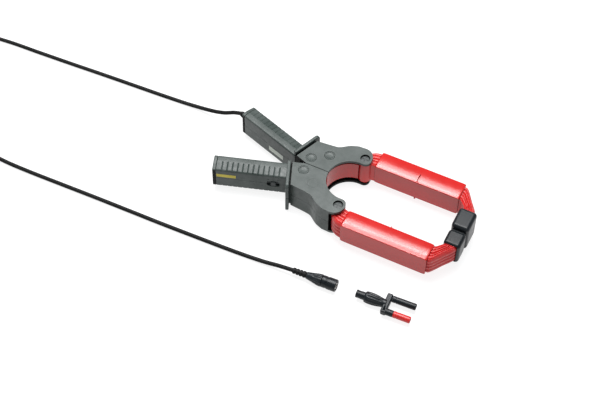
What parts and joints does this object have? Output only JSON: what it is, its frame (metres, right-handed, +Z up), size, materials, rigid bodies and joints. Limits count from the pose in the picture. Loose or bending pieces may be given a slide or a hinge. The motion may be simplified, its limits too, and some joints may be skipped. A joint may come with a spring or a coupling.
{
  "type": "current probe",
  "caption": "Large clamp-on AC current probe: two grey handles, red insulated jaws that open from a double-pivot hinge, a coaxial lead with a plug, and a twin-prong adapter.",
  "frame": {"origin": "on the resting plane, under the middle of the probe's box, without the lead, its plug and the adapter", "axes": "+X from the handles to the jaw tips, +Y to the left half, which the lead leaves from, +Z up, along the hinge pins"},
  "size_m": [0.733, 0.1976, 0.048],
  "materials": {
    "grey_plastic": "fine moulded texture",
    "black_plastic": "satin",
    "red_plastic": "satin gloss",
    "black_rubber": "matt",
    "steel": "plain",
    "core_steel": "laminated sheet",
    "nickel": "bright plating",
    "coil_tape": "wrapped tape",
    "board": "solder mask"
  },
  "bodies": {
    "hinge_and_lead": {"upper_link_plate": "steel", "lower_link_plate": "steel", "left_pivot_pin": "steel", "right_pivot_pin": "steel", "left_torsion_spring": "steel", "right_torsion_spring": "steel", "lead_out": "black_rubber", "lead_coil": "black_rubber", "lead_tie": "black_rubber", "lead_back": "black_rubber", "plug_boot": "black_rubber", "plug_body": "black_plastic", "plug_contact": "nickel"},
    "left_half": {"left_upper_shell": "grey_plastic", "left_lower_shell": "grey_plastic", "left_end_cap": "black_plastic", "left_core": "core_steel", "left_throat_liner": "red_plastic", "left_neck": "red_plastic", "left_rear_jaw_cover": "red_plastic", "left_rear_winding": "coil_tape", "left_front_jaw_cover": "red_plastic", "left_front_winding": "coil_tape", "left_elbow": "red_plastic", "left_tip_cap": "black_plastic", "left_pivot_hub": "steel", "left_pivot_plug": "grey_plastic", "left_body_plug": "grey_plastic", "left_body_screw": "steel", "left_horn_screw": "black_plastic", "cable_gland": "black_rubber", "lead_inner_end": "black_rubber"},
    "right_half": {"right_upper_shell": "grey_plastic", "right_lower_shell": "grey_plastic", "right_end_cap": "black_plastic", "right_core": "core_steel", "right_throat_liner": "red_plastic", "right_neck": "red_plastic", "right_rear_jaw_cover": "red_plastic", "right_rear_winding": "coil_tape", "right_front_jaw_cover": "red_plastic", "right_front_winding": "coil_tape", "right_elbow": "red_plastic", "right_tip_cap": "black_plastic", "right_pivot_hub": "steel", "right_pivot_plug": "grey_plastic", "right_body_plug": "grey_plastic", "right_body_screw": "steel", "right_horn_screw": "black_plastic", "circuit_board": "board", "selector_switch": "steel"},
    "selector": {"selector_knob": "black_plastic"},
    "plug_turning_sleeve": {"plug_sleeve": "black_plastic"},
    "adapter": {"adapter_jack": "nickel", "adapter_body": "black_plastic", "black_plug_sleeve": "black_plastic", "red_plug_sleeve": "red_plastic", "black_plug_pin": "nickel", "red_plug_pin": "nickel"}
  },
  "joints": [
    {"name": "left_pivot", "type": "hinge", "parent": "hinge_and_lead", "child": "left_half", "pos_m": [-0.0523, 0.0103, 0.024], "axis": [0, 0, 1], "range_deg": [0, 10]},
    {"name": "right_pivot", "type": "hinge", "parent": "hinge_and_lead", "child": "right_half", "pos_m": [-0.0523, -0.0103, 0.024], "axis": [0, 0, -1], "range_deg": [0, 10]},
    {"name": "range_selector", "type": "slide", "parent": "right_half", "child": "selector", "axis": [0.9489, 0.3156, 0], "range_m": [-0.004, 0.004]},
    {"name": "plug_sleeve_turn", "type": "hinge", "parent": "hinge_and_lead", "child": "plug_turning_sleeve", "pos_m": [0.03194, -0.1203, 0.0079], "axis": [0.9986, 0.0523, 0], "range_deg": [0, 90]},
    {"name": "adapter_push_on", "type": "slide", "parent": "hinge_and_lead", "child": "adapter", "axis": [-0.9986, -0.0523, 0], "range_m": [0, 0.0352]}
  ],
  "couplings": [
    {"joint": "right_pivot", "follows": "left_pivot", "ratio": 1}
  ]
}
